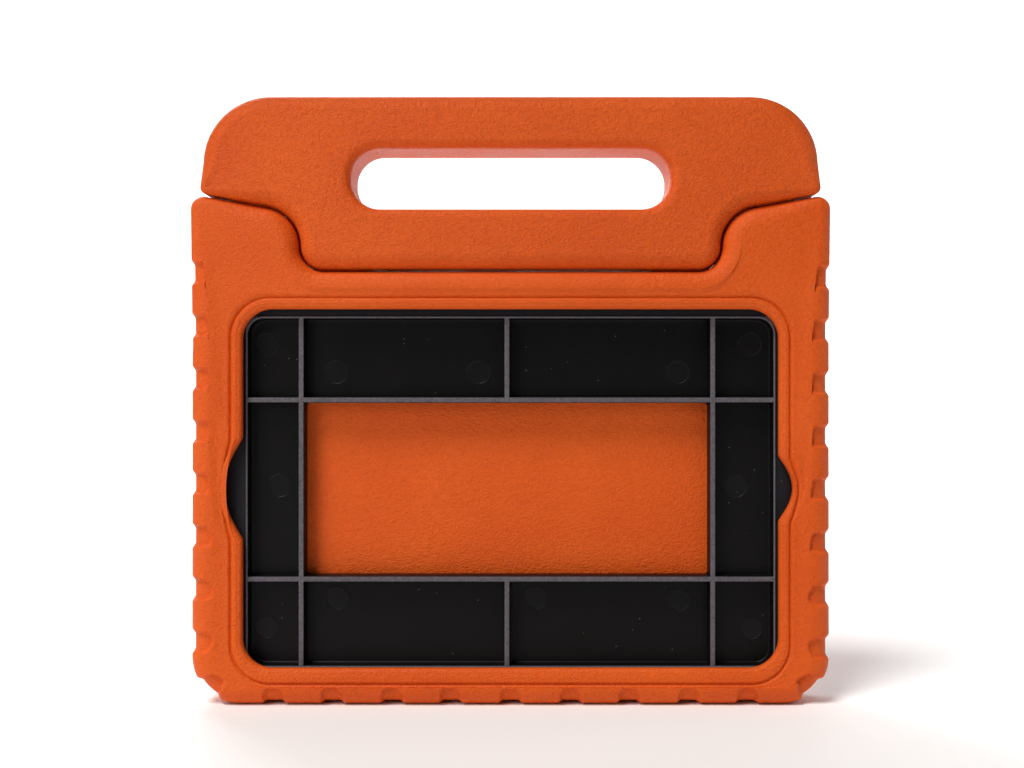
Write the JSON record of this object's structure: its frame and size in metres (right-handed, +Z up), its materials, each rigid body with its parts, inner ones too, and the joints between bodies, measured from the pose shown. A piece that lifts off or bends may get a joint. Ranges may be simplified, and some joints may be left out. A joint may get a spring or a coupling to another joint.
{
  "type": "tablet case",
  "caption": "Child-proof foam case for a small tablet, with a carrying handle that tilts back as a stand and a ribbed plastic former filling the tablet bay.",
  "frame": {"origin": "middle of the case's footprint, on the surface that it stands on", "axes": "+Z up, +X to the right seen from the screen side, the screen side faces -Y"},
  "size_m": [0.227, 0.025, 0.2163],
  "materials": {
    "body_foam": "matt closed-cell foam with a fine leather grain",
    "handle_foam": "matt closed-cell foam with a fine leather grain",
    "former_plastic": "black moulded plastic, glossy floors and satin rib tops",
    "bracket_plastic": "matt moulded nylon",
    "bush_nylon": "natural nylon",
    "pin_steel": "turned steel",
    "spring_steel": "blackened spring steel",
    "tube_metal": "drawn tube"
  },
  "bodies": {
    "case": {"foam_body": "body_foam", "tablet_former": "former_plastic", "hinge_bracket_right": "bracket_plastic", "hinge_bracket_left": "bracket_plastic", "pivot_pin_right": "pin_steel", "pivot_pin_left": "pin_steel", "friction_washer_right": "spring_steel", "friction_washer_left": "spring_steel", "retaining_ring_right": "spring_steel", "retaining_ring_left": "spring_steel"},
    "handle": {"handle_foam": "handle_foam", "handle_tube": "tube_metal", "pivot_bush_right": "bush_nylon", "pivot_bush_left": "bush_nylon"}
  },
  "joints": [
    {"name": "handle_tilt", "type": "hinge", "parent": "case", "child": "handle", "pos_m": [0, 0.0065, 0.162], "axis": [-1, 0, 0], "range_deg": [0, 110]}
  ]
}
